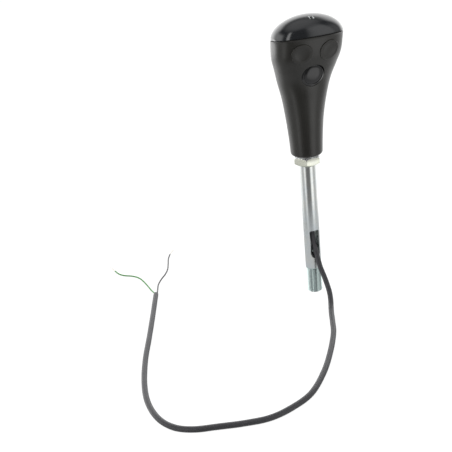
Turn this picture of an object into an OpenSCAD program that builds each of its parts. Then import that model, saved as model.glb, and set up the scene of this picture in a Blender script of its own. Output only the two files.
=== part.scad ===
// Lever knob with two push buttons on a drilled, threaded lever stem.
// Z runs up the lever from the centre of its foot; the buttons face -Y.
// The two buttons work two small switches wired in parallel; their cable
// runs down inside the stem and comes out of a slot near its foot.

/* [Lever stem] */
// Diameter of the plain bar
stem_d = 16; // [15.9:0.1:16.2]
// Outer diameter of the foot thread (M16 x 1.5, rolled)
thread_d = 15.66; // [15.6:0.02:15.68]
// Length of the foot thread
foot_thread_len = 28; // [20:1:32]
// Height where the upper thread starts
upper_thread_low = 140; // [132:0.5:141]
// Height of the stem's upper end
stem_top = 186; // [180:1:188]
// Diameter of the cable bore
bore_d = 10; // [8:0.5:11]

/* [Cable slot] */
// Width of the slot
slot_w = 9.8; // [7:0.2:10]
// Height of the slot's lower end
slot_low = 40; // [38:1:46]
// Height of the slot's upper end
slot_high = 71; // [64:1:80]

/* [Lock nut] */
// Width across the flats
nut_flats = 24; // [22:0.5:26]
// Height of the nut
nut_h = 8; // [6:0.5:8]
// Turn of one corner away from the front
nut_turn = -26; // [-30:1:30]

/* [Knob] */
// Height of the knob's lower rim
knob_low = 151; // [150.5:0.5:152]
// Thickness of the moulded walls
wall = 3; // [2.4:0.2:3.4]
// Height of the cap above the seam
cap_h = 19.4; // [16:0.2:24]
// Thickness of the seal in the seam
seal_h = 0.8; // [0.6:0.1:1.2]
// Diameter of the threaded insert
insert_d = 24; // [22:0.5:25]
// Diameter of the round emblem
emblem_d = 22; // [18:0.5:23]

/* [Buttons] */
// Diameter of a button's face
button_d = 19; // [18:0.2:21]
// Gap between a button and its bore
button_gap = 0.3; // [0.2:0.05:0.4]
// Full travel of a button
button_travel = 2.5; // [1.5:0.1:2.6]
// Distance of a button's centre from the middle plane
button_x = 12.8; // [12.6:0.1:13.4]

/* [Cable] */
// Outer diameter of the sheath
sheath_d = 5.2; // [4.6:0.1:5.4]
// Outer diameter of one insulated wire
wire_d = 1.5; // [1.2:0.1:1.6]
// Diameter of a stripped, tinned end
strand_d = 1.0; // [0.7:0.1:1.1]

/* [Hidden] */
$fn = 64;

eps = 0.01;
stem_r = stem_d / 2;
thread_r = thread_d / 2;
upper_r = 7.51;     // upper thread at its pitch line, inside the nut and the insert
bore_r = bore_d / 2;
nut_z = knob_low - 1.5 - nut_h;
insert_top = 190;

// Sections of the knob, from the neck up to the seam:
// [height, forward shift, half width, front depth, back depth, forward tilt, roundness]
knob_sections = [
    [knob_low + 2.5, 0, 15.4, 15.4, 15.4, 0, 2],
    [168, 0, 16.2, 16.2, 16.2, 0, 2],
    [188, 0, 18, 18, 18, 0, 2],
    [208, 1.9, 21, 19, 21.2, 1, 2.05],
    [224, 3.9, 24.8, 19.3, 23.4, 2.5, 2.15],
    [238, 9.8, 28.5, 18.8, 28.2, 4, 2.25],
    [250, 13.8, 31.6, 20.2, 29.8, 6, 2.3],
    [266, 16.5, 32.5, 22, 28.5, 7, 2.3]
];
seam = knob_sections[len(knob_sections) - 1];
cavity_first = 2.3;     // section number where the hollow of the head starts

// Frame of the right button: its face centre and the direction it faces
button_at = [button_x, -33.4, 254.4];
button_turn = 11;
button_drop = 18;
emblem_at = [0, -25.6, 232.3];
emblem_drop = 15;

// Depths along a button's axis, behind its face centre
face_proud = 0.4;
guide_end = 6.6;
flange_at = 6.8;
skirt_end = 8.2;
plate_at = 14;
plate_t = 2;
stem_end = plate_at - 0.5 - button_travel;
switch_at = plate_at + plate_t;
switch_deep = 10;
terminal_end = 31;

black_plastic = [0.13, 0.13, 0.14];
gloss_black = [0.07, 0.07, 0.08];
zinc = [0.72, 0.72, 0.70];
steel = [0.60, 0.60, 0.62];
dark_rubber = [0.05, 0.05, 0.05];
nylon = [0.85, 0.84, 0.80];
brass = [0.78, 0.62, 0.32];
copper = [0.80, 0.48, 0.32];
tinned = [0.74, 0.73, 0.70];
sheath_grey = [0.20, 0.20, 0.21];
wire_green_col = [0.22, 0.42, 0.20];
wire_black_col = [0.08, 0.08, 0.09];

// ---------- curves and lofts ----------

// Point or row at place u of a smooth curve through the rows of a list
function along(rows, u) =
    let (last = len(rows) - 1,
         i = min(floor(u), last - 1),
         t = u - i,
         b = rows[i],
         c = rows[i + 1],
         a = i > 0 ? rows[i - 1] : 2 * b - c,
         d = i + 2 <= last ? rows[i + 2] : 2 * c - b)
    b + (c - a) * t / 2 + (2 * a - 5 * b + 4 * c - d) * t * t / 2
      + (3 * b - 3 * c + d - a) * t * t * t / 2;

function power(v, e) = sign(v) * pow(abs(v), e);

// Outline of one section, drawn in by inset and raised off its own plane by rise
function ring(s, inset, rise, sides) = [
    for (k = [0 : sides - 1])
        let (a = 360 * k / sides,
             x = (s[2] - inset) * power(cos(a), 2 / s[6]),
             back = ((sin(a) < 0 ? s[3] : s[4]) - inset) * power(sin(a), 2 / s[6]))
        [x,
         -s[1] + back * cos(s[5]) + rise * sin(s[5]),
         s[0] - back * sin(s[5]) + rise * cos(s[5])]
];

// Closed solid through rings that all have the same number of points
module loft(rings) {
    n = len(rings[0]);
    m = len(rings);
    points = [for (r = rings, p = r) p];
    walls = [
        for (i = [0 : m - 2], k = [0 : n - 1])
            let (a = i * n + k, b = i * n + (k + 1) % n, c = b + n, d = a + n)
            each [[a, d, c], [a, c, b]]
    ];
    polyhedron(
        points,
        concat([[for (k = [0 : n - 1]) k]], walls, [[for (k = [n - 1 : -1 : 0]) (m - 1) * n + k]]),
        convexity = 6
    );
}

function unit(v) = v / norm(v);

// Direction of a route at its point i
function heading(route, i) =
    unit(route[min(i + 1, len(route) - 1)] - route[max(i - 1, 0)]);

// First crosswise direction of a route, carried on from ring to ring without twist
function crosswise(route, i = 0, v = [1, 0, 0], out = []) =
    i == len(route) ? out :
    let (t = heading(route, i),
         w = v - (v * t) * t,
         u = norm(w) > 0.05 ? unit(w) : unit([0, 1, 0] - ([0, 1, 0] * t) * t))
    crosswise(route, i + 1, u, concat(out, [u]));

// Tube of a given radius swept along a list of points
module tube_along(route, r, sides = 8) {
    u = crosswise(route);
    loft([
        for (i = [0 : len(route) - 1])
            let (t = heading(route, i), v = cross(t, u[i]))
            [for (k = [0 : sides - 1])
                route[i] + r * cos(360 * k / sides) * u[i] + r * sin(360 * k / sides) * v]
    ]);
}

// A smooth route through hand-set points, with steps rings from point to point
function smooth(points, steps) = [
    for (i = [0 : steps * (len(points) - 1)]) along(points, i / steps)
];

// ---------- placing ----------

// Puts children in the frame of a button: +Z outwards, +Y up the face
module at_button() {
    translate(button_at) rotate([90 + button_drop, 0, button_turn]) children();
}

// The same piece for the left side
module left_side() {
    mirror([1, 0, 0]) children();
}

// Puts children in the middle plane of the head, square to the carrier's land
module at_front() {
    translate([0, -34.8, button_at[2]]) rotate([90 + button_drop, 0, 0]) children();
}

module at_emblem() {
    translate(emblem_at) rotate([90 + emblem_drop, 0, 0]) children();
}

// Cylinder between two depths behind the face of a button
module deep_rod(r, from, to) {
    translate([0, 0, -to]) cylinder(r = r, h = to - from);
}

// Block between two depths, centred on x and y
module deep_block(x0, x1, y0, y1, from, to) {
    translate([x0, y0, -to]) cube([x1 - x0, y1 - y0, to - from]);
}

// Place of a point of the right button's frame in the part's own frame
function from_button(x, y, deep) =
    let (ct = cos(button_turn), st = sin(button_turn),
         cd = cos(button_drop), sd = sin(button_drop))
    button_at + x * [ct, st, 0] + y * [st * sd, -ct * sd, cd]
              + deep * [-st * cd, ct * cd, sd];

function mirrored(p) = [-p[0], p[1], p[2]];

// ---------- lever ----------

module slot_outline() {
    corner = 2;
    half = slot_w / 2;
    translate([0, slot_low + half]) circle(r = half);
    translate([-half, slot_low + half]) square([slot_w, slot_high - slot_low - half - corner]);
    translate([-half + corner, slot_high - 2 * corner]) square([slot_w - 2 * corner, 2 * corner]);
    for (side = [-1, 1])
        translate([side * (half - corner), slot_high - corner]) circle(r = corner);
}

module lever_stem() {
    chamfer = 1;
    run = 0.4;      // length of the step from bar to thread
    bore_floor = slot_low + slot_w / 2;
    color(zinc) difference() {
        rotate_extrude($fn = 96) polygon([
            [0, 0], [thread_r - chamfer, 0], [thread_r, chamfer],
            [thread_r, foot_thread_len], [stem_r, foot_thread_len + run],
            [stem_r, upper_thread_low - run], [upper_r, upper_thread_low],
            [upper_r, stem_top - chamfer], [upper_r - chamfer, stem_top], [0, stem_top]
        ]);
        // cable bore, from the top down to the slot
        translate([0, 0, bore_floor]) cylinder(r = bore_r, h = stem_top);
        // slot through the front wall, its lower end run out at a slope from the bore's floor
        intersection() {
            rotate([90, 0, 0]) linear_extrude(stem_r + 2) slot_outline();
            rotate([90, 0, 90]) translate([0, 0, -slot_w]) linear_extrude(2 * slot_w) polygon([
                [eps, bore_floor], [-3, bore_floor], [-stem_r - 3, bore_floor - stem_r],
                [-stem_r - 3, slot_high + 1], [eps, slot_high + 1]
            ]);
        }
    }
}

module lock_nut() {
    corner_r = nut_flats / sqrt(3);
    bevel = 1.1;
    color(zinc) translate([0, 0, nut_z]) rotate([0, 0, nut_turn - 90]) difference() {
        intersection() {
            linear_extrude(nut_h) circle(r = corner_r, $fn = 6);
            rotate_extrude($fn = 96) polygon([
                [0, 0], [nut_flats / 2 - 0.4, 0], [corner_r + 0.1, bevel],
                [corner_r + 0.1, nut_h - bevel], [nut_flats / 2 - 0.4, nut_h], [0, nut_h]
            ]);
        }
        translate([0, 0, -1]) cylinder(r = upper_r, h = nut_h + 2);
    }
}

module knob_insert() {
    r = insert_d / 2;
    low = knob_low - 1.5;
    groove = 1.2;
    color(steel) difference() {
        rotate_extrude($fn = 96) polygon(concat(
            [[upper_r - 1, low], [r - 0.5, low], [r, low + 0.5]],
            [for (z = [160, 172]) each
                [[r, z], [r - groove, z + groove], [r - groove, z + 5], [r, z + 5 + groove]]],
            [[r, insert_top - 0.5], [r - 0.5, insert_top], [upper_r - 1, insert_top]]
        ));
        translate([0, 0, low - 1]) cylinder(r = upper_r, h = insert_top - low + 2);
    }
}

// ---------- knob ----------

// Outside of the body: a rounded lower rim, then the smooth sections
module knob_solid(sides = 56) {
    first = knob_sections[0];
    rim = 2.5;
    rim_rings = [for (a = [0 : 22.5 : 67.5])
        ring(first, rim * (1 - sin(a)), -rim * cos(a), sides)];
    last = len(knob_sections) - 1;
    body_rings = [for (i = [0 : 3 * last]) ring(along(knob_sections, i / 3), 0,
        i == 3 * last ? -seal_h / 2 : 0, sides)];
    loft(concat(rim_rings, body_rings));
}

// Hollow of the head, open at the seam
module knob_hollow(sides = 40) {
    last = len(knob_sections) - 1;
    steps = 8;
    loft(concat(
        [for (i = [0 : steps])
            ring(along(knob_sections, cavity_first + (last - cavity_first) * i / steps),
                 wall, 0, sides)],
        [ring(seam, wall, 6, sides)]
    ));
}

module button_bore() {
    deep_rod(button_d / 2 + button_gap, -12, guide_end + 1);
}

module button_boss() {
    deep_rod(button_d / 2 + button_gap + 1.9, 1.5, guide_end);
}

// Two screw posts in the middle plane, above and below the gap between the buttons
module screw_places() {
    for (y = [-11.5, 9.5]) translate([0, y, 0]) children();
}

land_at = 13.4;     // depth of the carrier's land in the middle plane
post_r = 3;
seat_deep = 3;      // depth of the emblem's seat

module grip_body() {
    color(black_plastic) difference() {
        union() {
            knob_solid();
            // slim ends of the posts; the upper one goes on above the seam, inside the cap
            at_front() screw_places() deep_rod(post_r - 0.6, 6, land_at);
        }
        difference() {
            knob_hollow();
            at_button() button_boss();
            left_side() at_button() button_boss();
            at_front() screw_places() deep_rod(post_r, 0, land_at - 0.6);
            // backing of the emblem seat
            at_emblem() deep_rod(emblem_d / 2 + 1, 0, seat_deep + 3);
        }
        at_button() button_bore();
        left_side() at_button() button_bore();
        at_front() screw_places() deep_rod(1.25, 6.5, land_at + 1);
        at_emblem() deep_rod(emblem_d / 2, -4, seat_deep);
        translate([0, 0, knob_low - 1]) cylinder(r = insert_d / 2, h = insert_top - knob_low + 1);
        translate([0, 0, insert_top - 1]) cylinder(r = bore_r + 0.5, h = 12);
    }
}

// Rings of the cap's dome; scale is taken from the quarter turn of an ellipse
function dome_rings(inset, height, first, steps, sides) = [
    for (i = [first : steps])
        let (a = 88 * i / steps, k = cos(a))
        ring([seam[0], seam[1], (seam[2] - inset) * k, (seam[3] - inset) * k,
              (seam[4] - inset) * k, seam[5], seam[6] + (2 - seam[6]) * sin(a)],
             0, seal_h / 2 + (height - seal_h / 2) * sin(a), sides)
];

module cap() {
    lip = 4.5;      // depth of the locating lip inside the body
    lip_gap = 0.3;
    sides = 56;
    color(gloss_black) {
        difference() {
            union() {
                loft(dome_rings(0, cap_h, 0, 14, sides));
                // locating lip round the back and the sides, clear of the buttons
                intersection() {
                    loft([ring(seam, wall + lip_gap, -lip, sides),
                          ring(seam, wall + lip_gap, 1.5, sides)]);
                    translate([-50, -24, 240]) cube([100, 100, 60]);
                }
            }
            loft(concat(
                [ring(seam, wall + lip_gap + 1.6, -lip - 1, 40)],
                dome_rings(wall + lip_gap + 1.6, cap_h - wall, 0, 9, 40)
            ));
        }
    }
}

module cap_seal() {
    sides = 56;
    color(dark_rubber) difference() {
        loft([ring(seam, 0.7, -seal_h / 2, sides), ring(seam, 0.7, seal_h / 2, sides)]);
        loft([ring(seam, wall + 0.15, -seal_h, sides), ring(seam, wall + 0.15, seal_h, sides)]);
    }
}

// Ring on a wider foot, so that a narrow groove runs round it inside the seat
module emblem_ring() {
    seat_r = emblem_d / 2;
    r = seat_r - 0.7;
    color(steel) at_emblem() rotate_extrude($fn = 96) polygon([
        [r - 1.4, -seat_deep], [seat_r, -seat_deep], [seat_r, -seat_deep + 0.8],
        [r, -seat_deep + 0.8], [r, -1.1], [r - 0.5, -0.6], [r - 1, -0.6], [r - 1.4, -1]
    ]);
}

// Slightly domed, plain disc, set back inside the ring
module emblem_disc() {
    r = emblem_d / 2 - 2.1;
    crown = 1.1;
    rings = 6;
    color(gloss_black) at_emblem() rotate_extrude($fn = 96) polygon(concat(
        [[0, -seat_deep], [r, -seat_deep]],
        [for (i = [0 : rings]) let (x = r * (1 - i / rings)) [x, crown * (1 - pow(x / r, 2)) - 1.7]]
    ));
}

// ---------- one push button with its switch (right side) ----------

module button() {
    r = button_d / 2;
    dish_r = 42;
    dish_deep = 0.6;
    color(gloss_black) difference() {
        union() {
            rotate_extrude($fn = 96) polygon([
                [0, -skirt_end], [r, -skirt_end], [r, face_proud - 0.6],
                [r - 0.6, face_proud], [0, face_proud]
            ]);
            // stop flange, cut back on the side of the other button
            intersection() {
                deep_rod(r + 0.7, flange_at, skirt_end);
                deep_block(-r, r + 2, -r - 2, r + 2, flange_at, skirt_end);
            }
        }
        // finger dish
        translate([0, 0, face_proud - dish_deep + dish_r]) sphere(r = dish_r, $fn = 96);
        // hollow behind the face, round the stem
        difference() {
            deep_rod(r - 1.8, 2.4, skirt_end + 1);
            deep_rod(2.4, 0, skirt_end + 2);
        }
    }
    color(gloss_black) deep_rod(2.4, skirt_end - eps, stem_end);
}

module return_spring() {
    turns = 4.5;
    coil_r = 6;
    wire_r = 0.45;
    top = 2.5 + wire_r;
    bottom = plate_at - 0.1 - wire_r;
    steps = 54;
    color(steel) tube_along([
        for (i = [0 : steps])
            let (t = i / steps,
                 // closed end turns: little rise over the first and last turn
                 rise = 0.5 - 0.5 * cos(180 * (0.12 + 0.76 * t)),
                 share = (rise - 0.0351) / (1 - 2 * 0.0351))
            [coil_r * cos(360 * turns * t), coil_r * sin(360 * turns * t),
             -top - (bottom - top) * share]
    ], wire_r, 6);
}

// Micro switch housing, open on the side that the cover closes
module switch_housing() {
    low = -10;
    high = 10;
    back = switch_at + switch_deep;
    color(black_plastic) difference() {
        deep_block(-3.2, 2.2, low, high, switch_at, back);
        deep_block(-2, 3, -8.8, 7.8, switch_at + 1.4, back - 1.4);
        deep_rod(1.5, switch_at - 1, switch_at + 2);
        // passages of the terminals
        deep_block(-1.5, 1.5, -8.6, -7.6, back - 2, back + 1);
        deep_block(-1.5, 1.5, 6.4, 7.4, back - 2, back + 1);
    }
}

module switch_cover() {
    color([0.45, 0.10, 0.08])
        deep_block(2.2, 3.2, -10, 10, switch_at, switch_at + switch_deep);
}

module switch_plunger() {
    color(nylon) {
        deep_rod(1.2, 12.2, 19.5);
        deep_rod(1.6, 17.8, 18.8);
    }
}

module contact_blade() {
    color(copper) deep_block(-1.6, 1.6, -8, 7, 19.9, 20.2);
}

module switch_terminals() {
    color(brass) {
        deep_block(-1.5, 1.5, -8.6, -7.6, 20.6, terminal_end);
        deep_block(-1.5, 1.5, 6.4, 7.4, 23.2, terminal_end);
    }
}

module carrier_half() {
    difference() {
        union() {
            deep_block(-12.4, 9, -13.5, 12, plate_at, plate_at + plate_t);
            for (x = [-4.8, 3.2]) deep_block(x, x + 1.6, -7, 7, plate_at, plate_at + 8);
        }
        deep_rod(1.8, plate_at - 1, plate_at + plate_t + 1);
    }
}

module switch_carrier() {
    color(nylon) difference() {
        union() {
            intersection() {
                at_button() carrier_half();
                translate([0, -60, 200]) cube([60, 100, 100]);
            }
            left_side() intersection() {
                at_button() carrier_half();
                translate([0, -60, 200]) cube([60, 100, 100]);
            }
            // flat land for the two screws
            at_front() deep_block(-3.6, 3.6, -14.5, 12.5, land_at, land_at + 3);
        }
        at_front() screw_places() deep_rod(1.6, land_at - 2, land_at + 6);
    }
}

module carrier_screws() {
    color(zinc) at_front() screw_places() {
        deep_rod(1.25, 7, land_at + 3);
        difference() {
            deep_rod(2.8, land_at + 3, land_at + 5);
            deep_block(-0.3, 0.3, -3, 3, land_at + 4, land_at + 6);
            deep_block(-3, 3, -0.3, 0.3, land_at + 4, land_at + 6);
        }
    }
}

// ---------- cable and leads ----------

// Inside the stem and out of the slot, down to where the cable is free
riser_points = [
    [0, 0, 206], [0, 0, 180], [0, 0, 150], [0, 0, 120], [0, 0, 95], [0, 0, 80],
    [0, -0.4, 70], [0, -1.6, 62], [0.2, -3.8, 54.5], [0.6, -7, 48]
];
// Free cable: down to the table, along it in one wide loop and up to its far end
cable_points = [
    [0.6, -7, 48], [0.6, -10.9, 40.5], [0.8, -15.3, 33], [1.8, -20, 26], [2.3, -25.5, 19],
    [1.8, -32, 12.5], [-0.4, -39, 7.5], [-3.8, -46.5, 4.2], [-7.5, -55, 2.85],
    [-13.5, -70, 2.65], [-20.5, -86, 2.65], [-35, -110, 2.65], [-54, -136, 2.65],
    [-76, -158, 2.65], [-98, -168, 2.65], [-119, -172, 2.65], [-140, -169, 2.65],
    [-161, -163.5, 2.65], [-180, -158, 2.65], [-194, -148.5, 2.65], [-203, -132, 2.65],
    [-206, -108, 2.65], [-202.5, -80, 2.65], [-193.5, -46, 2.65], [-182, -13, 2.65],
    [-171, 19, 2.65], [-162, 46, 2.65], [-155, 67, 2.65]
];
green_points = [
    [-156.1, 67.4, 3.0], [-156.2, 71, 2.6], [-157.2, 78.5, 1.5], [-158.3, 90, 0.8],
    [-160.2, 103, 0.8], [-163.2, 114, 0.8], [-169, 122, 0.8], [-177, 128, 0.8],
    [-182, 135, 0.8], [-184.6, 144, 0.8]
];
green_bare = [[-184.6, 144, 0.8], [-186, 150.5, 0.7], [-187.6, 157, 0.6]];
black_points = [
    [-154, 66.7, 2.2], [-152.9, 70.2, 1.9], [-150.6, 78, 1.2], [-147, 89, 0.8],
    [-141, 99, 0.8], [-134.5, 107.5, 0.8], [-129, 117.5, 0.8], [-125, 130, 0.8],
    [-121.5, 142, 0.8], [-117, 152, 0.8]
];
black_bare = [[-117, 152, 0.8], [-113.6, 157.2, 0.7], [-109.8, 162, 0.6]];

green_tip = from_button(0.85, -8.1, terminal_end);
black_tip = from_button(0.85, 6.9, terminal_end);
green_link_tip = from_button(-0.85, -8.1, terminal_end);
black_link_tip = from_button(-0.85, 6.9, terminal_end);

module cable_riser() {
    color(sheath_grey) tube_along(smooth(riser_points, 3), sheath_d / 2, 10);
}

module cable_sheath() {
    color(sheath_grey) tube_along(smooth(cable_points, 2), sheath_d / 2, 10);
}

module cable_tie() {
    color(nylon) translate([0, 0, 197]) difference() {
        union() {
            cylinder(r = sheath_d / 2 + 1.1, h = 2.6);
            translate([-2.2, sheath_d / 2, -0.5]) cube([4.4, 3.4, 3.6]);
        }
        translate([0, 0, -1]) cylinder(r = sheath_d / 2 + 0.02, h = 6);
    }
}

module inner_lead_green() {
    color(wire_green_col) tube_along(smooth([
        [0.9, 0, 206], [1, 0.2, 211], [1.8, 1.4, 220], [3.4, 3.6, 232], [5, 6, 243],
        [6.2, 7.4, 250.5], from_button(0.85, -8.1, terminal_end + 7),
        from_button(0.85, -8.1, terminal_end + 3), green_tip
    ], 2), wire_d / 2);
}

module inner_lead_black() {
    color(wire_black_col) tube_along(smooth([
        [-0.9, 0, 206], [-1, 0.2, 211], [-0.4, 3, 221], [3.4, 6, 234], [7.6, 6.6, 245],
        [9.4, 4.6, 254], [9.2, 3, 262], [8.2, 1.4, 268.5],
        from_button(0.85, 6.9, terminal_end + 6),
        from_button(0.85, 6.9, terminal_end + 3), black_tip
    ], 2), wire_d / 2);
}

// A lead from one switch's terminal over to its twin on the other side
function link_route(tip, behind, middle) =
    smooth([tip, behind, middle, mirrored(behind), mirrored(tip)], 4);

module link_lead_green() {
    color(wire_green_col) tube_along(link_route(green_link_tip,
        from_button(-0.85, -8.1, terminal_end + 3), [0, 5.4, 258]), wire_d / 2);
}

module link_lead_black() {
    color(wire_black_col) tube_along(link_route(black_link_tip,
        from_button(-0.85, 6.9, terminal_end + 3), [0, 1.2, 272.3]), wire_d / 2);
}

module wire_green() {
    color(wire_green_col) tube_along(smooth(green_points, 2), wire_d / 2);
}

module wire_black() {
    color(wire_black_col) tube_along(smooth(black_points, 2), wire_d / 2);
}

module strands_green() {
    color(tinned) tube_along(smooth(green_bare, 2), strand_d / 2);
}

module strands_black() {
    color(tinned) tube_along(smooth(black_bare, 2), strand_d / 2);
}

lever_stem();
lock_nut();
knob_insert();
grip_body();
cap();
cap_seal();
emblem_ring();
emblem_disc();
at_button() button();  // button_right
left_side() at_button() button();  // button_left
at_button() return_spring();  // return_spring_right
left_side() at_button() return_spring();  // return_spring_left
switch_carrier();
carrier_screws();
at_button() switch_housing();  // switch_housing_right
left_side() at_button() switch_housing();  // switch_housing_left
at_button() switch_cover();  // switch_cover_right
left_side() at_button() switch_cover();  // switch_cover_left
at_button() switch_plunger();  // switch_plunger_right
left_side() at_button() switch_plunger();  // switch_plunger_left
at_button() contact_blade();  // contact_blade_right
left_side() at_button() contact_blade();  // contact_blade_left
at_button() switch_terminals();  // switch_terminals_right
left_side() at_button() switch_terminals();  // switch_terminals_left
cable_riser();
cable_tie();
inner_lead_green();
inner_lead_black();
link_lead_green();
link_lead_black();
cable_sheath();
wire_green();
wire_black();
strands_green();
strands_black();
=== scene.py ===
"""Lever knob with two push buttons on a drilled lever stem.

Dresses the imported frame: builds the detailed pieces, gives every piece its
material, and sets the stage, the lamps and the camera.
"""

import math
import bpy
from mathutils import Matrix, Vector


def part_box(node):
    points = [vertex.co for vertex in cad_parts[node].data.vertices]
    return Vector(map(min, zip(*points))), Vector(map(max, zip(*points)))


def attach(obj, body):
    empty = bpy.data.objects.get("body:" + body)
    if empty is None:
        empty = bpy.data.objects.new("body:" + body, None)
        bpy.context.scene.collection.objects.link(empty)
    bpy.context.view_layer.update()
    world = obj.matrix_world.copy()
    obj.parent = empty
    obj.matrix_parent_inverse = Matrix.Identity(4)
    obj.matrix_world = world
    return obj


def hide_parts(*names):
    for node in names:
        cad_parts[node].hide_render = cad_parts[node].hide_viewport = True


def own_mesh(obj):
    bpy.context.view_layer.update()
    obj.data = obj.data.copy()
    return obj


bl_info = {
    "name": "Lever Knob",
    "version": (1, 0, 0),
    "blender": (4, 5, 0),
    "location": "View3D > Sidebar > Lever Knob",
    "description": "Builds a lever knob with its stem, nut, buttons and cable",
    "category": "Add Mesh",
}

from types import SimpleNamespace

import bmesh
import bpy
from mathutils import Matrix, Vector
from mathutils.bvhtree import BVHTree

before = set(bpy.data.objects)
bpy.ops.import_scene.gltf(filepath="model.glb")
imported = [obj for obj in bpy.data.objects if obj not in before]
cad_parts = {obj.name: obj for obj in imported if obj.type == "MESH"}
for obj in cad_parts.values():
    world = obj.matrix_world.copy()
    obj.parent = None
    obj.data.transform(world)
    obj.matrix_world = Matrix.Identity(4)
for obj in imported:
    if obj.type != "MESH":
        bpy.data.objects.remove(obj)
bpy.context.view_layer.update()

MM = 0.001
HOUSING = "housing"
SIDES = {"right": 1, "left": -1}

# Heights that come from the frame, in millimetres
STEM_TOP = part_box("lever_stem")[1].z / MM
NUT_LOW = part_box("lock_nut")[0].z / MM
NUT_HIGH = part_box("lock_nut")[1].z / MM

# Sections of the knob, from the neck up to the seam, in millimetres and degrees:
# height, forward shift, half width, front depth, back depth, forward tilt, roundness
KNOB_SECTIONS = [
    (153.5, 0, 15.4, 15.4, 15.4, 0, 2),
    (168, 0, 16.2, 16.2, 16.2, 0, 2),
    (188, 0, 18, 18, 18, 0, 2),
    (208, 1.9, 21, 19, 21.2, 1, 2.05),
    (224, 3.9, 24.8, 19.3, 23.4, 2.5, 2.15),
    (238, 9.8, 28.5, 18.8, 28.2, 4, 2.25),
    (250, 13.8, 31.6, 20.2, 29.8, 6, 2.3),
    (266, 16.5, 32.5, 22, 28.5, 7, 2.3),
]
SEAM = KNOB_SECTIONS[-1]
HOLLOW_FROM = 2.3      # section number where the hollow of the head starts
LIP_GAP = 0.3          # between the cap's lip and the body's wall
SEAM_EDGE = 0.22       # broken edges along the seam
INSERT_TOP = 190

# Where the buttons, the emblem and the carrier's screws sit on the face of the head
BUTTON_AT = Vector((12.8, -33.4, 254.4))
BUTTON_TURN = 11
BUTTON_DROP = 18
EMBLEM_AT = Vector((0, -25.6, 232.3))
EMBLEM_DROP = 15
FRONT_AT = Vector((0, -34.8, 254.4))
POSTS_AT = (-11.5, 9.5)

# Depths behind the face of a button or of the emblem, and the screw posts' radius
GUIDE_END = 6.6
FLANGE_AT = 6.8
SKIRT_END = 8.2
SHAFT_END = 11
LAND_AT = 13.4
POST_R = 3
PLATE_AT = 14
SEAT_DEEP = 3

# Radius of the upper thread at its pitch line, inside the nut
UPPER_R = 7.51

# Points round the stem, round the knob's outer shells and round its hollows
BAR_SIDES = 96
SHELL_SIDES = 176
HOLLOW_SIDES = 72

# Routes of the free cable and its wires, in millimetres: the cable comes down from the
# slot, lies on the table, and its wires go on from its end
CABLE_DOWN = [
    (0.6, -7, 48), (0.6, -10.9, 40.5), (0.8, -15.3, 33), (1.8, -20, 26), (2.3, -25.5, 19),
    (1.8, -32, 12.5), (-0.4, -39, 7.5), (-3.8, -46.5, 4.2), (-7.5, -55, 2.85),
]
CABLE_LYING = [
    (-13.5, -70), (-20.5, -86), (-35, -110), (-54, -136), (-76, -158), (-98, -168),
    (-119, -172), (-140, -169), (-161, -163.5), (-180, -158), (-194, -148.5), (-203, -132),
    (-206, -108), (-202.5, -80), (-193.5, -46), (-182, -13), (-171, 19), (-162, 46),
    (-155, 67),
]
CABLE_ROUTE = CABLE_DOWN + [(x, y, 2.65) for x, y in CABLE_LYING]
WIRE_ROUTES = {
    "green": [
        (-156.1, 67.4, 3.0), (-156.2, 71, 2.6), (-157.2, 78.5, 1.5), (-158.3, 90, 0.8),
        (-160.2, 103, 0.8), (-163.2, 114, 0.8), (-169, 122, 0.8), (-177, 128, 0.8),
        (-182, 135, 0.8), (-184.6, 144, 0.8),
    ],
    "black": [
        (-154, 66.7, 2.2), (-152.9, 70.2, 1.9), (-150.6, 78, 1.2), (-147, 89, 0.8),
        (-141, 99, 0.8), (-134.5, 107.5, 0.8), (-129, 117.5, 0.8), (-125, 130, 0.8),
        (-121.5, 142, 0.8), (-117, 152, 0.8),
    ],
}
BARE_ROUTES = {
    "green": [(-184.6, 144, 0.8), (-186, 150.5, 0.7), (-187.6, 157, 0.6)],
    "black": [(-117, 152, 0.8), (-113.6, 157.2, 0.7), (-109.8, 162, 0.6)],
}


# ---------- sizes and colours that a user would change ----------


def length(label, text, default, low=0.0):
    """A length of the panel, in metres."""
    return bpy.props.FloatProperty(
        name=label, description=text, default=default, min=low, unit="LENGTH",
        subtype="DISTANCE", precision=5,
    )


def angle(label, text, degrees):
    """An angle of the panel."""
    return bpy.props.FloatProperty(
        name=label, description=text, default=math.radians(degrees), subtype="ANGLE",
    )


def amount(label, text, default, low=0.0):
    """A plain number of the panel."""
    return bpy.props.FloatProperty(name=label, description=text, default=default, min=low)


def tint(label, text, default):
    """A colour of the panel."""
    return bpy.props.FloatVectorProperty(
        name=label, description=text, default=default, size=3, min=0.0, max=1.0,
        subtype="COLOR",
    )


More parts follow.
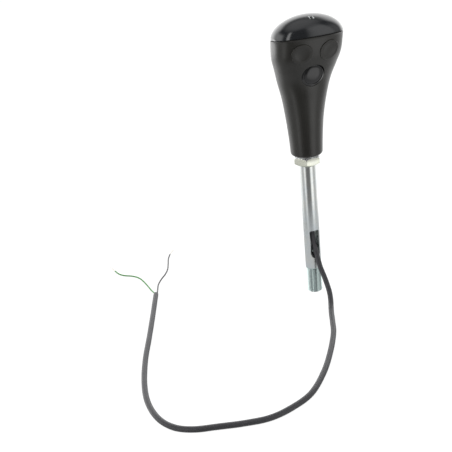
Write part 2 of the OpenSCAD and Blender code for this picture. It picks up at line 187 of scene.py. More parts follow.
class KnobSizes(bpy.types.PropertyGroup):
    stem_diameter: length("Bar", "Diameter of the plain part of the stem", 0.016)
    thread_diameter: length("Thread", "Outer diameter of the foot thread", 0.01566)
    thread_pitch: length("Pitch", "Height of one turn of the threads", 0.0015)
    foot_thread: length("Foot thread", "Length of the thread at the foot", 0.028)
    upper_thread_low: length("Upper thread", "Height where the upper thread starts", 0.140)
    bore_diameter: length("Bore", "Diameter of the cable bore", 0.010)
    slot_width: length("Slot width", "Width of the cable slot", 0.0098)
    slot_low: length("Slot bottom", "Height of the slot's lower end", 0.040)
    slot_high: length("Slot top", "Height of the slot's upper end", 0.071)
    nut_flats: length("Nut", "Width of the lock nut across its flats", 0.024)
    wall: length("Wall", "Thickness of the moulded walls", 0.003)
    cap_height: length("Cap", "Height of the cap above the seam", 0.0194)
    seal_height: length("Seal", "Thickness of the seal in the seam", 0.0008)
    insert_diameter: length("Insert", "Diameter of the threaded insert", 0.024)
    emblem_diameter: length("Emblem", "Diameter of the round emblem", 0.022)
    button_diameter: length("Button", "Diameter of a button's face", 0.019)
    button_gap: length("Button gap", "Gap between a button and its bore", 0.00012)
    cable_diameter: length("Cable", "Outer diameter of the cable", 0.0052)
    wire_diameter: length("Wire", "Outer diameter of one wire", 0.0015)
    bare_diameter: length("Bare end", "Diameter of a stripped wire end", 0.001)
    nut_turn: angle("Nut turn", "Turn of one corner of the nut away from the front", -26)


class KnobColours(bpy.types.PropertyGroup):
    grip: tint("Grip", "Satin plastic of the knob's body", (0.0098, 0.0091, 0.0070))
    cap: tint("Cap", "Polished plastic of the cap", (0.010, 0.0112, 0.0128))
    button: tint("Buttons", "Plastic of the two buttons", (0.0098, 0.0091, 0.0070))
    marks: tint("Marks", "Lines on top of the cap", (0.60, 0.63, 0.63))
    zinc: tint("Zinc", "Bright zinc plating", (0.66, 0.67, 0.665))
    thread: tint("Thread", "Greener zinc of the foot thread", (0.48, 0.565, 0.55))
    nut: tint("Nut", "Zinc plating of the lock nut", (0.70, 0.71, 0.66))
    cable: tint("Cable", "Sheath of the cable", (0.029, 0.029, 0.033))
    green: tint("Green wire", "Insulation of the green wire", (0.045, 0.23, 0.035))
    black: tint("Black wire", "Insulation of the black wire", (0.016, 0.016, 0.018))
    tinned: tint("Bare ends", "Tinned copper of the stripped ends", (0.62, 0.58, 0.52))


class KnobStage(bpy.types.PropertyGroup):
    camera_at: bpy.props.FloatVectorProperty(
        name="Camera", description="Place of the camera", size=3, subtype="XYZ",
        unit="LENGTH", default=(-0.2717, -0.6394, 0.4125),
    )
    camera_turn: angle("Turn", "Turn of the view from straight ahead", -16)
    camera_pitch: angle("Pitch", "How far the camera looks down", 25.5)
    camera_roll: angle("Roll", "Roll of the camera about its line of sight", -6.5)
    camera_lens: amount("Lens", "Focal length in millimetres on a 36 mm sensor", 61.0, 10.0)
    key_power: amount("Key", "Power of the large soft lamp, in watts", 5.0)
    fill_power: amount("Fill", "Power of the two side lamps, in watts", 3.0)
    table: length("Table", "Reach of the pale table in reflections", 0.20, 0.06)
    table_level: amount("Table level", "Level of the table in reflections", 0.72)
    sky: amount("Surround", "Level of the plain surround", 0.62)


def sizes():
    """The panel's lengths, in millimetres."""
    panel = bpy.context.scene.knob_sizes
    return SimpleNamespace(**{key: getattr(panel, key) / MM
                              for key in KnobSizes.__annotations__ if key != "nut_turn"})


def colours():
    return bpy.context.scene.knob_colours


# ---------- curves, rings and solids, all in millimetres ----------


def polar(radius, turn, z=0.0):
    """Point at a radius and a turn about Z, which is in radians."""
    return Vector((radius * math.cos(turn), radius * math.sin(turn), z))


def along(rows, u):
    """Row at place u of a smooth curve through the rows."""
    last = len(rows) - 1
    i = min(int(math.floor(u)), last - 1)
    t = u - i
    b, c = Vector(rows[i]), Vector(rows[i + 1])
    a = Vector(rows[i - 1]) if i > 0 else 2 * b - c
    d = Vector(rows[i + 2]) if i + 2 <= last else 2 * c - b
    return (
        b + (c - a) * (t / 2) + (2 * a - 5 * b + 4 * c - d) * (t * t / 2)
        + (3 * b - 3 * c + d - a) * (t ** 3 / 2)
    )


def smooth_route(points, steps):
    """Points of the smooth curve through the given ones, steps to each stretch."""
    return [along(points, i / steps) for i in range(steps * (len(points) - 1) + 1)]


def ring(section, inset, rise, sides):
    """Outline of one knob section, drawn in by inset and raised off its plane by rise."""
    height, shift, half, front, back, tilt, roundness = section
    slope = math.radians(tilt)
    points = []
    for k in range(sides):
        turn = 2 * math.pi * k / sides
        c, s = math.cos(turn), math.sin(turn)
        x = (half - inset) * math.copysign(abs(c) ** (2 / roundness), c)
        reach = (front if s < 0 else back) - inset
        y = reach * math.copysign(abs(s) ** (2 / roundness), s)
        points.append(Vector((
            x,
            -shift + y * math.cos(slope) + rise * math.sin(slope),
            height - y * math.sin(slope) + rise * math.cos(slope),
        )))
    return points


def join_rings(rings, first_end="flat", last_end="flat"):
    """Vertices and faces through closed rings.

    An end is flat, a pole or open; a joined last end closes on the first ring.
    """
    count = len(rings[0])
    vertices = [p for points in rings for p in points]
    faces = []
    for i in range(len(rings) - 1):
        for k in range(count):
            a, b = i * count + k, i * count + (k + 1) % count
            faces.append((a, b, b + count, a + count))
    for end, base in ((first_end, 0), (last_end, len(rings) - 1)):
        loop = [base * count + k for k in range(count)]
        if end == "flat":
            faces.append(tuple(loop))
        elif end == "pole":
            vertices.append(sum(rings[base], Vector()) / count)
            pole = len(vertices) - 1
            faces += [(loop[k], loop[(k + 1) % count], pole) for k in range(count)]
        elif end == "joined" and base:
            faces += [(loop[k], loop[(k + 1) % count], (k + 1) % count, k)
                      for k in range(count)]
    return vertices, faces


def rounded(corners, steps=4):
    """Closed profile through (x, z, fillet) corners, rounded off by their fillets."""
    out = []
    count = len(corners)
    for i, (x, z, fillet) in enumerate(corners):
        here = Vector((x, z))
        if not fillet:
            out.append(here)
            continue
        before = Vector(corners[(i - 1) % count][:2]) - here
        after = Vector(corners[(i + 1) % count][:2]) - here
        half_angle = before.angle(after) / 2
        back = fillet / math.tan(half_angle)
        start = here + before.normalized() * back
        end = here + after.normalized() * back
        middle = here + (before.normalized() + after.normalized()).normalized() * (
            fillet / math.sin(half_angle))
        u, v = start - middle, end - middle
        opening = u.angle(v)
        for k in range(steps + 1):
            t = k / steps
            out.append(middle + (u * math.sin((1 - t) * opening) + v * math.sin(t * opening))
                       / math.sin(opening))
    return out


def turned(profile, sides, loop=False):
    """Vertices and faces of a profile of (radius, height) points turned about Z."""
    vertices, rows, faces = [], [], []
    for x, z in profile:
        if x < 1e-6:
            rows.append([len(vertices)])
            vertices.append(Vector((0, 0, z)))
        else:
            rows.append([len(vertices) + k for k in range(sides)])
            vertices += [polar(x, 2 * math.pi * k / sides, z) for k in range(sides)]
    pairs = list(zip(rows, rows[1:])) + ([(rows[-1], rows[0])] if loop else [])
    for low, high in pairs:
        for k in range(sides):
            n = (k + 1) % sides
            if len(low) == 1 and len(high) == 1:
                break
            if len(low) == 1:
                faces.append((low[0], high[n], high[k]))
            elif len(high) == 1:
                faces.append((low[k], low[n], high[0]))
            else:
                faces.append((low[k], low[n], high[n], high[k]))
    return vertices, faces


def block(low, high):
    """Vertices and faces of a box between two corners."""
    vertices = [Vector((x, y, z)) for z in (low[2], high[2]) for y in (low[1], high[1])
                for x in (low[0], high[0])]
    return vertices, [(0, 2, 3, 1), (4, 5, 7, 6), (0, 1, 5, 4), (2, 6, 7, 3),
                      (0, 4, 6, 2), (1, 3, 7, 5)]


def rod(radius, low, high, sides=BAR_SIDES):
    """Vertices and faces of a plain cutter rod along Z."""
    return turned([(0, low), (radius, low), (radius, high), (0, high)], sides)


def sweep(route, radii, sides):
    """Rings of a tube along a route, carried on without twist."""
    rings = []
    across = Vector((1, 0, 0))
    last = len(route) - 1
    for i, point in enumerate(route):
        ahead = (route[min(i + 1, last)] - route[max(i - 1, 0)]).normalized()
        flat = across - across.dot(ahead) * ahead
        if flat.length < 0.05:
            flat = Vector((0, 1, 0)) - Vector((0, 1, 0)).dot(ahead) * ahead
        across = flat.normalized()
        up = ahead.cross(across)
        radius = radii[i] if isinstance(radii, list) else radii
        rings.append([point + radius * (math.cos(2 * math.pi * k / sides) * across
                                        + math.sin(2 * math.pi * k / sides) * up)
                      for k in range(sides)])
    return rings


def stack(parts):
    """One shape from several; points that meet are merged later."""
    vertices, faces = [], []
    for part_vertices, part_faces in parts:
        base = len(vertices)
        vertices += part_vertices
        faces += [tuple(base + i for i in face) for face in part_faces]
    return vertices, faces


def placed(shape, matrix):
    """The shape moved by a matrix."""
    vertices, faces = shape
    return [matrix @ v for v in vertices], faces


def facing(at, turn, drop, side=1):
    """Matrix of a frame on the knob's face: Z outwards, Y up the face.

    Side -1 mirrors it to the left half of the knob.
    """
    place = (Matrix.Translation(at) @ Matrix.Rotation(math.radians(turn), 4, "Z")
             @ Matrix.Rotation(math.radians(90 + drop), 4, "X"))
    return Matrix.Diagonal((side, 1, 1, 1)) @ place


BUTTON_PLACES = {name: facing(BUTTON_AT, BUTTON_TURN, BUTTON_DROP, side)
                 for name, side in SIDES.items()}
EMBLEM_PLACE = facing(EMBLEM_AT, 0, EMBLEM_DROP)
FRONT_PLACE = facing(FRONT_AT, 0, BUTTON_DROP)


# ---------- objects ----------


def make_object(name, shape):
    """An object in the scene from vertices and faces in millimetres."""
    vertices, faces = shape
    mesh = bpy.data.meshes.new(name)
    mesh.from_pydata([v * MM for v in vertices], [], faces)
    work = bmesh.new()
    work.from_mesh(mesh)
    bmesh.ops.remove_doubles(work, verts=work.verts, dist=1e-7)
    bmesh.ops.recalc_face_normals(work, faces=work.faces)
    work.to_mesh(mesh)
    work.free()
    obj = bpy.data.objects.new(name, mesh)
    bpy.context.scene.collection.objects.link(obj)
    return obj


def taken(obj):
    """The object's shape in millimetres; the object itself goes."""
    shape = ([v.co / MM for v in obj.data.vertices],
             [tuple(p.vertices) for p in obj.data.polygons])
    bpy.data.objects.remove(obj)
    return shape


def settle(obj):
    """Applies the object's modifiers to its mesh."""
    bpy.context.view_layer.update()
    mesh = bpy.data.meshes.new_from_object(
        obj.evaluated_get(bpy.context.evaluated_depsgraph_get()))
    old = obj.data
    obj.modifiers.clear()
    obj.data = mesh
    bpy.data.meshes.remove(old)


def carve(obj, shapes, operation="DIFFERENCE"):
    """Cuts shapes out of the object, or joins or intersects it with them."""
    tools = [make_object("tool", shape) for shape in shapes]
    for tool in tools:
        step = obj.modifiers.new("carve", "BOOLEAN")
        step.operation = operation
        step.solver = "EXACT"
        step.object = tool
    settle(obj)
    for tool in tools:
        bpy.data.meshes.remove(tool.data)
    if not obj.data.polygons:
        raise RuntimeError(f"{obj.name}: nothing is left after {operation.lower()}")


def soften(obj, width, angle=30, segments=2):
    """Rounds the object's sharp edges by a small width, in millimetres."""
    step = obj.modifiers.new("soften", "BEVEL")
    step.width = width * MM
    step.segments = segments
    step.limit_method = "ANGLE"
    step.angle_limit = math.radians(angle)
    step.use_clamp_overlap = True
    settle(obj)


def finish_piece(obj, material, body=HOUSING, stands_for=(), sharp=35):
    """Shades the piece, gives it its material and puts it on its body."""
    obj.data.materials.clear()
    obj.data.materials.append(material)
    for face in obj.data.polygons:
        face.use_smooth = True
        face.material_index = 0
    obj.data.set_sharp_from_angle(angle=math.radians(sharp))
    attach(obj, body)
    if stands_for:
        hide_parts(*stands_for)
    return obj


# ---------- materials ----------


class Wire:
    """A shader socket that takes part in arithmetic; each step adds its Math node."""

    def __init__(self, recipe, socket):
        self.recipe = recipe
        self.socket = socket

    def maths(self, operation, *values):
        return self.recipe.node("ShaderNodeMath", {"operation": operation},
                                dict(enumerate(values)))

    def __add__(self, other):
        return self.maths("ADD", self, other)

    def __sub__(self, other):
        return self.maths("SUBTRACT", self, other)

    def __rsub__(self, other):
        return self.maths("SUBTRACT", other, self)

    def __mul__(self, other):
        return self.maths("MULTIPLY", self, other)

    def __truediv__(self, other):
        return self.maths("DIVIDE", self, other)

    def __pow__(self, other):
        return self.maths("POWER", self, other)

    __radd__ = __add__
    __rmul__ = __mul__

    def other(self, index):
        """Another output of the same node."""
        return Wire(self.recipe, self.socket.node.outputs[index])

    def at_least(self, other):
        return self.maths("MAXIMUM", self, other)


class Recipe:
    """One node tree: nodes are added by type, settings and socket values."""

    def __init__(self, tree):
        self.tree = tree
        tree.nodes.clear()

    def node(self, kind, settings=None, inputs=None, output=0):
        made = self.tree.nodes.new(kind)
        for key, value in (settings or {}).items():
            setattr(made, key, value)
        for key, value in (inputs or {}).items():
            self.feed(made.inputs[key], value)
        return Wire(self, made.outputs[output]) if made.outputs else None

    def feed(self, socket, value):
        if isinstance(value, Wire):
            self.tree.links.new(value.socket, socket)
        elif hasattr(value, "__len__") and socket.type == "RGBA" and len(value) == 3:
            socket.default_value = (*value, 1.0)
        else:
            socket.default_value = value

    def point(self, stretch=(1, 1, 1)):
        """Place on the piece in metres, stretched along its axes."""
        place = self.node("ShaderNodeTexCoord", output="Object")
        return self.node("ShaderNodeVectorMath", {"operation": "MULTIPLY"},
                         {0: place, 1: stretch})

    def noise(self, scale, detail=3.0, stretch=(1, 1, 1)):
        return self.node("ShaderNodeTexNoise", None, {
            "Vector": self.point(stretch), "Scale": scale, "Detail": detail,
            "Roughness": 0.55})

    def ramp(self, value, low, high):
        """0 below low, 1 above high, a straight rise between them."""
        made = self.node("ShaderNodeValToRGB", None, {0: value})
        first, last = made.socket.node.color_ramp.elements
        first.position, last.position = low, high
        return made

    def span(self, value, low, high):
        """0 below low, 1 above high, a smooth step between them."""
        return self.node("ShaderNodeMapRange", {"interpolation_type": "SMOOTHSTEP"},
                         {"Value": value, "From Min": low, "From Max": high})

    def blend(self, mask, first, second):
        """Colour between two colours."""
        return self.node("ShaderNodeMix", {"data_type": "RGBA"},
                         {0: mask, 6: first, 7: second}, output=2)

    def mix(self, mask, first, second):
        """Shader between two shaders."""
        return self.node("ShaderNodeMixShader", None, {0: mask, 1: first, 2: second})

    def height_of(self, vector):
        """The Z part of a vector."""
        return self.node("ShaderNodeSeparateXYZ", None, {0: vector}).other(2)

    def bump(self, height, distance):
        return self.node("ShaderNodeBump", None,
                         {"Height": height, "Distance": distance, "Strength": 1.0})


def shaded(colour, factor):
    """A colour made lighter or darker by a factor."""
    return tuple(min(1.0, c * factor) for c in colour)


def surface(name, build):
    """A material whose surface is set up by build(recipe), which returns socket values."""
    material = bpy.data.materials.get(name)
    if material:
        return material
    material = bpy.data.materials.new(name)
    material.use_nodes = True
    recipe = Recipe(material.node_tree)
    shader = recipe.node("ShaderNodeBsdfPrincipled", None, build(recipe))
    recipe.node("ShaderNodeOutputMaterial", None, {"Surface": shader})
    return material


def moulded_plastic(name, colour, gloss, grain, coat=0.0):
    """Moulded plastic: faint tone and gloss drift, fine mould grain."""
    def build(r):
        drift = r.noise(35.0, 4.0)
        specks = r.noise(2600.0, 2.0)
        handled = r.ramp(r.noise(60.0, 5.0), 0.42, 0.68)
        tone = r.blend(drift, shaded(colour, 0.82), shaded(colour, 1.2))
        rough = gloss + (specks - 0.5) * (0.12 * gloss) + handled * (0.10 * gloss)
        height = specks + r.noise(900.0, 2.0) * 0.6
        return {
            "Base Color": tone, "Roughness": rough,
            "Normal": r.bump(height, grain * MM),
            "Coat Weight": coat, "Coat Roughness": 0.06,
        }
    return surface(name, build)


def plated_steel(name, colour, gloss, turning=1.0, yellow=0.0, thread=None):
    """Zinc-plated or plain turned steel: fine turning lines, cloudy passivation.

    Below the height thread, in millimetres, it takes the colour of the foot thread.
    """
    def build(r):
        clouds = r.ramp(r.noise(70.0, 4.0), 0.35, 0.70)
        blotches = r.noise(420.0, 3.0)
        lines = r.noise(1.0, 2.0, stretch=(60.0, 60.0, 5200.0))
        warm = (colour[0] * (1.0 + 0.06 * yellow), colour[1] * (1.0 + 0.05 * yellow),
                colour[2] * (1.0 - 0.22 * yellow))
        cool = (colour[0] * 0.93, colour[1] * 0.99, colour[2] * 1.03)
        tone = r.blend(clouds, warm, cool)
        dull = r.blend(blotches * 0.25, tone, shaded(colour, 0.72))
        if thread:
            height = r.height_of(r.node("ShaderNodeTexCoord", output="Object"))
            dull = r.blend(r.span(height, (thread + 1) * MM, thread * MM), dull,
                           colours().thread)
        rough = gloss + clouds * 0.05 + (blotches - 0.5) * 0.08 + (lines - 0.5) * 0.05
        return {
            "Base Color": dull, "Metallic": 1.0, "Roughness": rough,
            "Normal": r.bump(lines * turning + blotches * 0.3, 0.004 * MM),
        }
    return surface(name, build)


def soft_pvc(name, colour, gloss, bloom=0.12):
    """Extruded PVC: lengthwise drift, fine dust and a slightly waxy bloom."""
    def build(r):
        drift = r.noise(28.0, 4.0)
        dust = r.ramp(r.noise(1500.0, 3.0), 0.52, 0.78)
        tone = r.blend(drift, shaded(colour, 0.85), shaded(colour, 1.18))
        dusty = r.blend(dust * bloom, tone, (0.32, 0.31, 0.30))
        rough = gloss + (drift - 0.5) * 0.12 + dust * 0.08
        height = r.noise(700.0, 3.0) + dust * 0.5
        return {"Base Color": dusty, "Roughness": rough,
                "Normal": r.bump(height, 0.02 * MM)}
    return surface(name, build)


def sheet_metal(name, colour, gloss, grain=(2600.0, 60.0, 60.0)):
    """Stamped or drawn metal: rolling lines and light tarnish."""
    def build(r):
        lines = r.noise(1.0, 2.0, stretch=grain)
        tarnish = r.ramp(r.noise(240.0, 4.0), 0.45, 0.75)
        tone = r.blend(tarnish, colour, shaded(colour, 0.62))
        return {"Base Color": tone, "Metallic": 1.0,
                "Roughness": gloss + tarnish * 0.18 + (lines - 0.5) * 0.1,
                "Normal": r.bump(lines, 0.003 * MM)}
    return surface(name, build)


def natural_nylon(name, colour=(0.72, 0.70, 0.62), gloss=0.42):
    """Natural nylon: milky, with flow marks of the moulding."""
    def build(r):
        flow = r.noise(90.0, 4.0, stretch=(1.0, 3.0, 1.0))
        tone = r.blend(flow, shaded(colour, 0.88), shaded(colour, 1.06))
        return {"Base Color": tone, "Roughness": gloss + (flow - 0.5) * 0.14,
                "Normal": r.bump(r.noise(1800.0, 2.0), 0.006 * MM)}
    return surface(name, build)


def zinc():
    return plated_steel("Bright zinc plating", colours().zinc, 0.2, 1.0, 0.15,
                        sizes().foot_thread)


def nut_zinc():
    """Zinc of the nut: smooth flats; the turned top bevel and top face are coarser, and a
    painted highlight makes them lighter.
    """
    colour = colours().nut

    def build(r):
        clouds = r.ramp(r.noise(70.0, 4.0), 0.35, 0.70)
        warm = (colour[0] * 1.02, colour[1] * 1.03, colour[2] * 0.93)
        tone = r.blend(clouds, warm, shaded(colour, 0.96))
        # Painted highlight: faces turned upwards (top bevel, top face, bore mouth) get a
        # lighter zinc colour from their world normal; they are also rougher.
        rise = r.height_of(r.node("ShaderNodeNewGeometry", output="Normal"))
        bevel = r.span(rise, 0.25, 0.5)
        return {
            # The lighter colour on the upward faces is a painted highlight.
            "Base Color": r.blend(bevel, tone, (0.90, 0.91, 0.91)), "Metallic": 1.0,
            "Roughness": 0.24 + clouds * 0.05 + bevel * 0.26,
            "Normal": r.bump(r.noise(420.0, 3.0), 0.003 * MM),
        }
    return surface("Zinc plating of the nut", build)


def grip_plastic():
    return moulded_plastic("Satin grip plastic", colours().grip, 0.31, 0.008)


def cap_plastic():
    return moulded_plastic("Polished cap plastic", colours().cap, 0.15, 0.0015, coat=0.25)


def button_plastic():
    return moulded_plastic("Button plastic", colours().button, 0.30, 0.007)


def sheath_pvc():
    return soft_pvc("Cable sheath", colours().cable, 0.46)


def insulation(colour):
    gloss, bloom = {"green": (0.42, 0.08), "black": (0.40, 0.06)}[colour]
    return soft_pvc(f"{colour.capitalize()} insulation", getattr(colours(), colour), gloss,
                    bloom)


def spring_wire():
    return sheet_metal("Spring wire", (0.52, 0.52, 0.53), 0.25)


def tinned_copper():
    return sheet_metal("Tinned copper", colours().tinned, 0.32, (300.0, 300.0, 300.0))


# ---------- the pieces ----------


def threaded(low, high, radius, pitch, fades, steps=8):
    """Open wall of a screw thread whose rows follow the helix, flat at both ends.

    The groove fades out over the two heights in fades, at the bottom and at the top.
    """
    rows = int(math.ceil(steps * ((high - low) / pitch + 1)))
    crest, flank, depth = 1 / 16, 5 / 16, 0.36
    vertices, faces = [], []

    def radius_at(turn, z):
        phase = ((z - low) / pitch - turn) % 1.0
        beyond = min(abs(phase - crest), 1 - abs(phase - crest)) - crest
        cut = min(1.0, max(0.0, beyond / flank))
        fade = min(1.0, (z - low) / fades[0], (high - z) / fades[1])
        return radius - depth * pitch * cut * max(0.0, fade)

    for k in range(rows + 1):
        for i in range(BAR_SIDES):
            turn = i / BAR_SIDES
            z = min(high, max(low, low - pitch + pitch * (k / steps + turn)))
            vertices.append(polar(radius_at(turn, z), 2 * math.pi * turn, z))
    for k in range(rows):
        for a in range(k * BAR_SIDES, (k + 1) * BAR_SIDES - 1):
            faces.append((a, a + 1, a + 1 + BAR_SIDES, a + BAR_SIDES))
        # The last face of a row meets the row one pitch higher
        end = (k + 1) * BAR_SIDES - 1
        here, there = (min(rows, k + steps + j) * BAR_SIDES for j in (0, 1))
        faces.append((end, here, there, end + BAR_SIDES))
    return vertices, faces


def slot_outline(width, low, high, corner=2.0, steps=16):
    """Outline of the cable slot in the XZ plane: round below, small corners above."""
    half = width / 2
    points = []
    for k in range(steps + 1):
        a = math.pi + math.pi * k / steps
        points.append((half * math.cos(a), low + half + half * math.sin(a)))
    for sign, start in ((1, 0.0), (-1, math.pi / 2)):
        for k in range(steps // 2 + 1):
            a = start + math.pi / 2 * k / (steps // 2)
            points.append((sign * (half - corner) + corner * math.cos(a),
                           high - corner + corner * math.sin(a)))
    return points


def build_stem():
    s = sizes()
    bar, crest, bore = s.stem_diameter / 2, s.thread_diameter / 2, s.bore_diameter / 2
    foot, upper = s.foot_thread, s.upper_thread_low
    floor = s.slot_low + s.slot_width / 2
    chamfer, edge, run = 1.0, 0.25, 0.4
    # Rows along the plain bar keep its long faces short for the shading
    rows = [s.slot_low + rise for rise in (-3, 5, 13, 21)] + [s.slot_high + 3, 90, 110, 128]
    obj = make_object("stem_bar", stack([
        turned([(0, 0), (crest - chamfer, 0), (crest - edge, chamfer - edge),
                (crest, chamfer)], BAR_SIDES),
        threaded(chamfer, foot, crest, s.thread_pitch, (0.6, 1.2)),
        turned([(crest, foot), (bar - 0.12, foot + run - 0.05), (bar, foot + run + 0.15)]
               + [(bar, z) for z in rows]
               + [(bar, upper - run - 0.15), (bar - 0.15, upper - run + 0.05),
                  (UPPER_R, upper), (UPPER_R, STEM_TOP - chamfer),
                  (UPPER_R - chamfer, STEM_TOP), (0, STEM_TOP)], BAR_SIDES),
    ]))
    slot = make_object("slot_tool", join_rings([
        [Vector((x, y, z)) for x, z in slot_outline(s.slot_width, s.slot_low, s.slot_high)]
        for y in (-bar - 2, 0.0)]))
    # The slot's floor slopes from the bore down to the front
    run_out = [(0.01, floor), (-3, floor), (-bar - 3, floor - bar),
               (-bar - 3, s.slot_high + 1), (0.01, s.slot_high + 1)]
    carve(slot, [join_rings([[Vector((x, y, z)) for y, z in run_out]
                             for x in (-s.slot_width, s.slot_width)])], "INTERSECT")
    carve(obj, [rod(bore, floor, STEM_TOP + 2), taken(slot)])
    finish_piece(obj, zinc(), stands_for=["lever_stem"], sharp=28)


def build_nut():
    bore, flat = UPPER_R, sizes().nut_flats / 2
    corner = 2 * flat / math.sqrt(3)
    height, bevel, mouth, washer_r = NUT_HIGH - NUT_LOW, 1.5, 0.7, flat - 0.4
    outline = rounded([(*polar(corner, math.radians(60 * k)).xy, 0.5) for k in range(6)])
    turn = Matrix.Translation((0, 0, NUT_LOW)) @ Matrix.Rotation(
        bpy.context.scene.knob_sizes.nut_turn - math.radians(90), 4, "Z")
    rings = [[Vector((p.x, p.y, z)) for p in outline] for z in (0, height)]
    obj = make_object("hex_nut", placed(join_rings(rings), turn))
    outer = corner + 0.1
    cone = turned([(0, 0), (washer_r, 0), (outer, bevel), (outer, height - bevel),
                   (washer_r, height), (0, height)], 144)
    carve(obj, [placed(cone, turn)], "INTERSECT")
    wide = bore + mouth + 1
    hole = turned([(0, -1), (wide, -1), (bore, mouth), (bore, height - mouth),
                   (wide, height + 1), (0, height + 1)], BAR_SIDES)
    carve(obj, [placed(hole, turn)])
    soften(obj, 0.14, 16)
    finish_piece(obj, nut_zinc(), stands_for=["lock_nut"], sharp=50)


def build_grip():
    s = sizes()
    seam_z = -s.seal_height / 2
    rim, first, last = 2.5, KNOB_SECTIONS[0], len(KNOB_SECTIONS) - 1
    steps = 12
    # The neck's lower rim is rounded; the broken edge at the top meets the seam
    rings = [ring(first, rim * (1 - math.sin(math.radians(a))),
                  -rim * math.cos(math.radians(a)), SHELL_SIDES) for a in range(0, 90, 10)]
    rings += [ring(along(KNOB_SECTIONS, i / steps), 0, 0, SHELL_SIDES)
              for i in range(steps * last)]
    rings += [ring(SEAM, 0, seam_z - SEAM_EDGE, SHELL_SIDES),
              ring(SEAM, SEAM_EDGE, seam_z, SHELL_SIDES)]
    obj = make_object("grip_shell", join_rings(rings))

    # The hollow of the head leaves the button bosses, the screw posts and the emblem's back
    hollow = make_object("hollow_tool", join_rings(
        [ring(along(KNOB_SECTIONS, HOLLOW_FROM + (last - HOLLOW_FROM) * i / steps), s.wall, 0,
              HOLLOW_SIDES) for i in range(steps + 1)]
        + [ring(SEAM, s.wall, 6, HOLLOW_SIDES)]))
    bore_r, seat_r = s.button_diameter / 2 + s.button_gap, s.emblem_diameter / 2
    boss_wall = 1.9
    bosses = [placed(rod(bore_r + boss_wall, -GUIDE_END, -1.5), place)
              for place in BUTTON_PLACES.values()]
    posts = [placed(rod(POST_R, -LAND_AT, 0, 32),
                    FRONT_PLACE @ Matrix.Translation((0, y, 0))) for y in POSTS_AT]
    backing = placed(rod(seat_r + 1, -SEAT_DEEP - 3, 0), EMBLEM_PLACE)
    carve(hollow, bosses + posts + [backing])
    bores = [placed(rod(bore_r, -GUIDE_END - 1, 12, 128), place)
             for place in BUTTON_PLACES.values()]
    seat = placed(rod(seat_r, -SEAT_DEEP, 4, 128), EMBLEM_PLACE)
    neck = [rod(s.insert_diameter / 2, first[0] - 6, INSERT_TOP),
            rod(s.bore_diameter / 2 + 0.5, INSERT_TOP - 1, INSERT_TOP + 11, 64)]
    carve(obj, [taken(hollow)] + bores + [seat] + neck)
    finish_piece(obj, grip_plastic(), stands_for=["grip_body"], sharp=30)


def dome_rings(inset, height, base, last, steps, sides):
    """Rings of the cap's dome over the seam, drawn as a quarter of an ellipse."""
    rings = []
    for i in range(steps + 1):
        a = math.radians(last * i / steps)
        k = math.cos(a)
        section = (SEAM[0], SEAM[1], (SEAM[2] - inset) * k, (SEAM[3] - inset) * k,
                   (SEAM[4] - inset) * k, SEAM[5], SEAM[6] + (2 - SEAM[6]) * math.sin(a))
        rings.append(ring(section, 0, base + (height - base) * math.sin(a), sides))
    return rings


def build_cap():
    s = sizes()
    base, height = s.seal_height / 2, s.cap_height
    lip_out = s.wall + LIP_GAP
    lip_in = lip_out + 1.6
    outer = [ring(SEAM, SEAM_EDGE, base, SHELL_SIDES)] + dome_rings(
        0, height, base + SEAM_EDGE, 89.6, 40, SHELL_SIDES)
    obj = make_object("cap_dome", join_rings(outer, "flat", "pole"))
    inner = [ring(SEAM, lip_in, -1, HOLLOW_SIDES)] + dome_rings(
        lip_in, height - s.wall, base, 88, 18, HOLLOW_SIDES)
    carve(obj, [join_rings(inner, "flat", "pole")])
    lip = make_object("lip_tool", join_rings([ring(SEAM, lip_out, rise, SHELL_SIDES)
                                              for rise in (-4.5, 1.5)]))
    carve(lip, [join_rings([ring(SEAM, lip_in, rise, HOLLOW_SIDES) for rise in (-6, 4)])])
    # The lip stops short of the button bosses at the front
    carve(lip, [block((-50, -24, 240), (50, 76, 300))], "INTERSECT")
    carve(obj, [taken(lip)], "UNION")
    finish_piece(obj, cap_plastic(), stands_for=["cap"], sharp=30)
    build_marks(obj)


def stroke(start, end, width):
    """Rectangle of a printed line between two points."""
    a, b = Vector(start), Vector(end)
    side = (b - a).normalized().orthogonal() * (width / 2)
    return [a - side, b - side, b + side, a + side]


def arrow(centre, half, width, direction):
    """Outlines of a plain arrow: a shaft and its two barbs."""
    x, y = centre
    barb = half * 0.5
    shaft = stroke((x, y - direction * half), (x, y + direction * (half - width / 2)), width)
    return [shaft] + [stroke((x, y + direction * half),
                             (x + side * barb, y + direction * (half - barb)), width)
                      for side in (-1, 1)]


def build_marks(dome):
    """Two plain arrows, forward and back, printed on top of the cap."""
    skin = BVHTree.FromObject(dome, bpy.context.evaluated_depsgraph_get())
    tilt = math.radians(SEAM[5])
    up = Vector((0, math.sin(tilt), math.cos(tilt)))
    ahead = Vector((0, math.cos(tilt), -math.sin(tilt)))
    centre = Vector((0, -SEAM[1], SEAM[0]))
    above, sunk, steps = 0.03, -0.15, 8
    vertices, faces = [], []

    def on_dome(place, lift):
        start = centre + Vector((place.x, 0, 0)) + ahead * place.y + up * 40
        hit, normal, _, _ = skin.ray_cast(start * MM, -up)
        return hit / MM + normal * lift

    for offset, direction in ((-1.6, 1), (1.6, -1)):
        for corners in arrow((offset, -12.8), 1.6, 0.42, direction):
            base = len(vertices)
            for i in range(steps + 1):
                for a, b in ((corners[0], corners[1]), (corners[3], corners[2])):
                    p = a + (b - a) * (i / steps)
                    vertices += [on_dome(p, above), on_dome(p, sunk)]
            for k in range(base, base + 4 * steps, 4):
                n = k + 4
                faces += [(k, n, n + 2, k + 2), (k + 1, k + 3, n + 3, n + 1),
                          (k, k + 1, n + 1, n), (k + 2, n + 2, n + 3, k + 3)]
            end = base + 4 * steps
            faces += [(base, base + 2, base + 3, base + 1), (end, end + 1, end + 3, end + 2)]
    obj = make_object("cap_marks", (vertices, faces))
    finish_piece(obj, moulded_plastic("Marking paint", colours().marks, 0.4, 0.004),
                 sharp=40)


